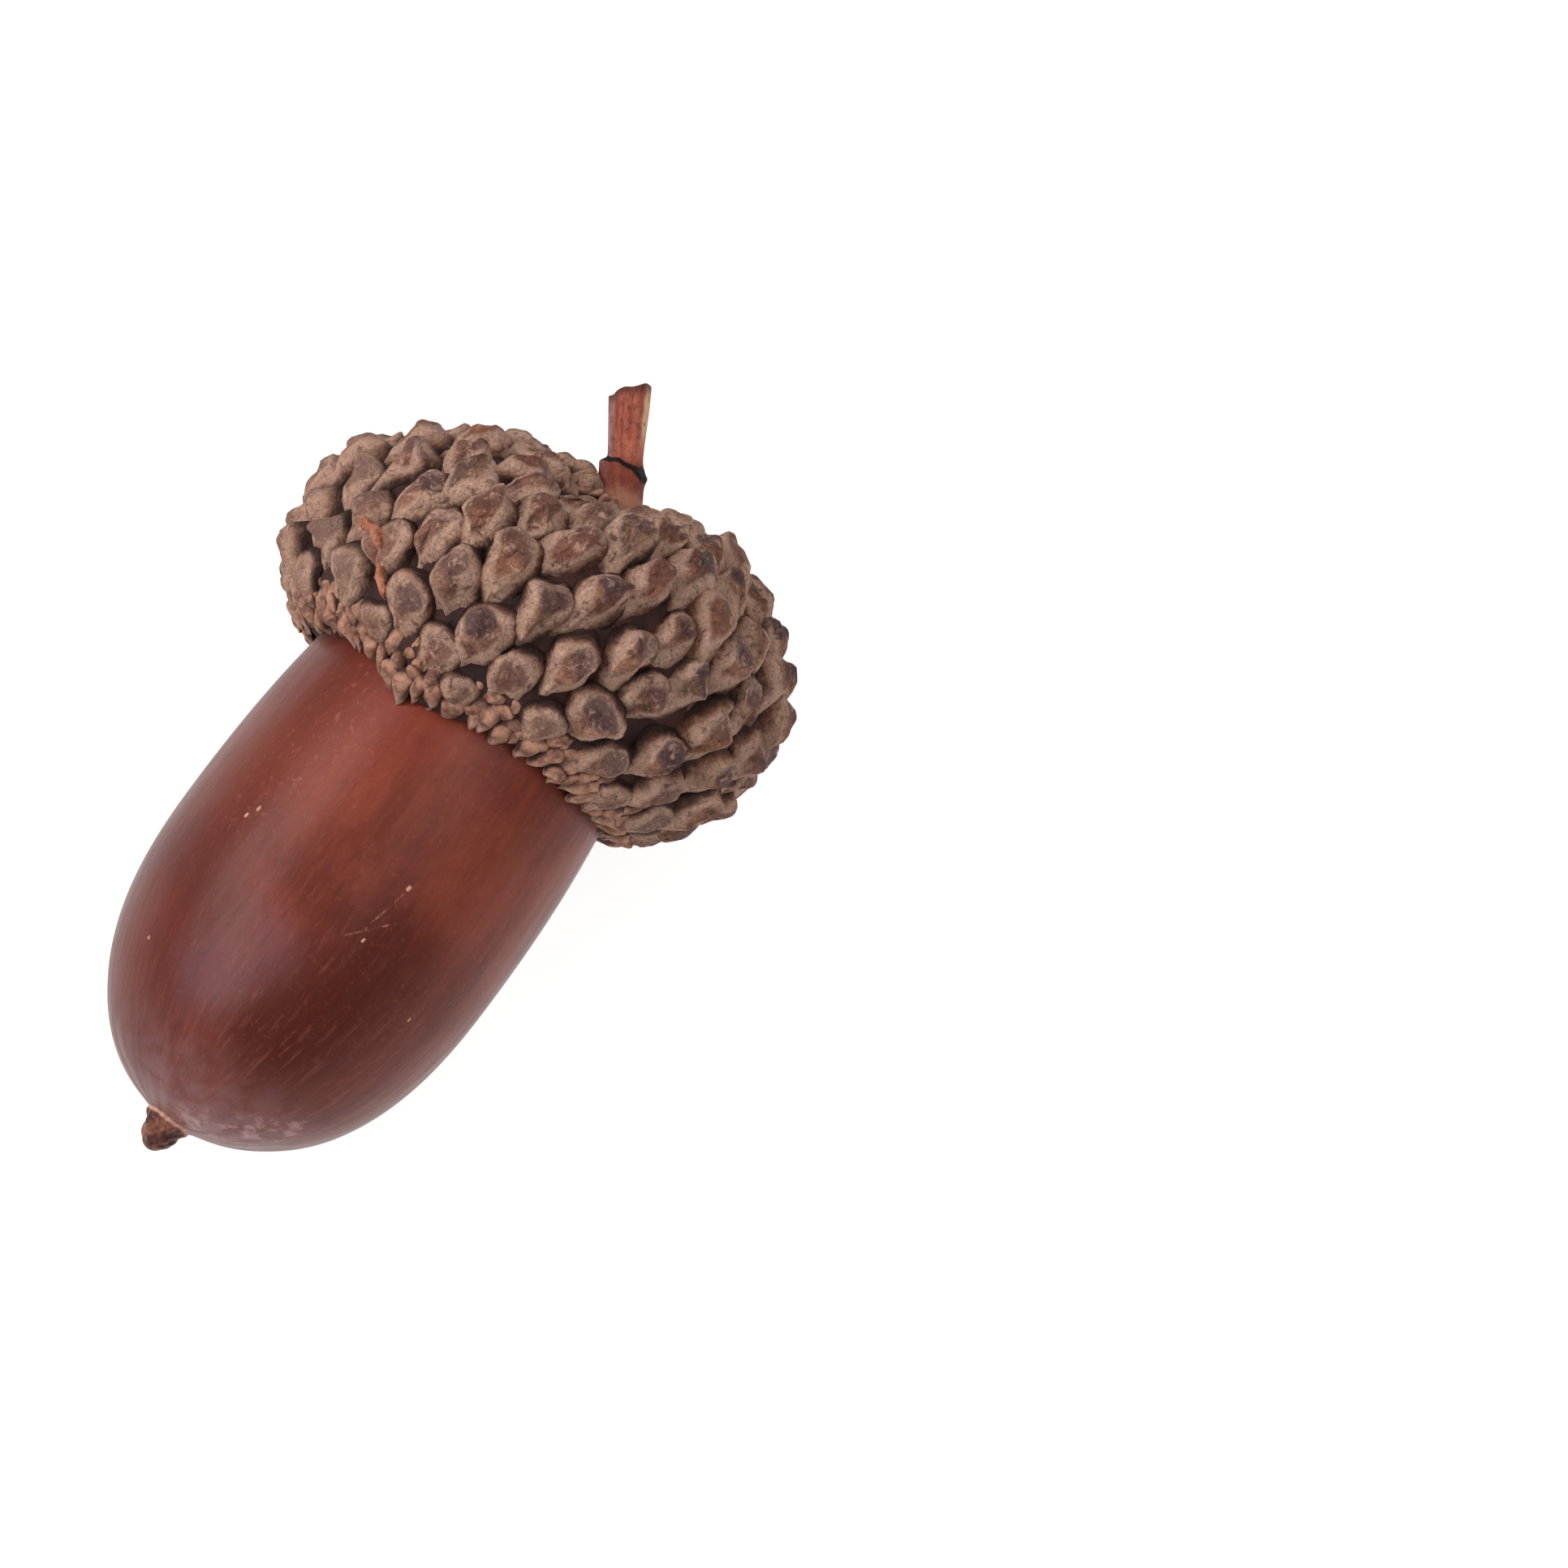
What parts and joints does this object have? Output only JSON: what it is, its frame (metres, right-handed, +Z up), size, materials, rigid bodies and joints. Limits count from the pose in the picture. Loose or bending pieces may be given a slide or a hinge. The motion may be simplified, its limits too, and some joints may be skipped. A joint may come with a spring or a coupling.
{
  "type": "acorn",
  "caption": "Acorn lying on its side: a smooth nut with a pointed beak, seated in a deep warty cap with a short broken stalk.",
  "frame": {"origin": "on the surface that the acorn lies on, under the middle of its bounding box", "axes": "+Z up from the surface, +X from the nut's beak towards the cap and stalk, +Y to the left of that"},
  "size_m": [0.0368, 0.0225, 0.0217],
  "materials": {
    "nut": "satin",
    "cap": "matte",
    "stalk": "matte"
  },
  "bodies": {
    "root": {"nut": "nut", "cap": "cap", "stalk": "stalk"}
  },
  "joints": []
}
